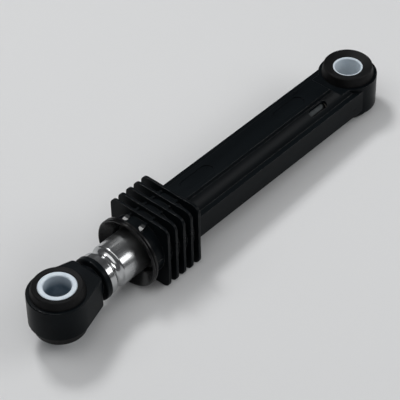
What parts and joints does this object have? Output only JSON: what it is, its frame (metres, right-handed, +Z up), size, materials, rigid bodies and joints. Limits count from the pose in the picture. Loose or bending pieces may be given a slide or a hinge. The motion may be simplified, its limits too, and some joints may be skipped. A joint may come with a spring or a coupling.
{
  "type": "washing machine shock absorber",
  "caption": "Telescopic friction damper for a washing machine drum: black railed housing with square cooling fins, plated steel rod and a bushed eye at each end.",
  "frame": {"origin": "centre of the housing eye's pin bore", "axes": "+Z up along both eye bores, +X along the damper from the rod's eye to the housing's eye"},
  "size_m": [0.2114, 0.0324, 0.0324],
  "materials": {
    "black_plastic": "semi-gloss glass-filled moulding with a fine texture",
    "cap_plastic": "smooth glossy black moulding",
    "liner_foam": "greased foam",
    "guide_plastic": "natural low-friction plastic",
    "bush_rubber": "matt black rubber",
    "white_nylon": "smooth white nylon",
    "plated_steel": "bright plated steel tube with rolled grooves"
  },
  "bodies": {
    "housing": {"housing": "black_plastic", "end_cap": "cap_plastic", "friction_liner": "liner_foam", "guide_bush": "guide_plastic", "housing_eye_rubber": "bush_rubber", "housing_eye_sleeve": "white_nylon"},
    "guide": {"piston_guide": "guide_plastic"},
    "rod": {"rod_tube": "plated_steel", "rod_eye": "black_plastic", "rod_eye_rubber": "bush_rubber", "rod_eye_sleeve": "white_nylon"}
  },
  "joints": [
    {"name": "rod_slide", "type": "slide", "parent": "housing", "child": "guide", "axis": [-1, 0, 0], "range_m": [-0.0015, 0.081]},
    {"name": "rod_turn", "type": "hinge", "parent": "guide", "child": "rod", "pos_m": [-0.0925, 0, 0], "axis": [1, 0, 0], "continuous": true}
  ]
}
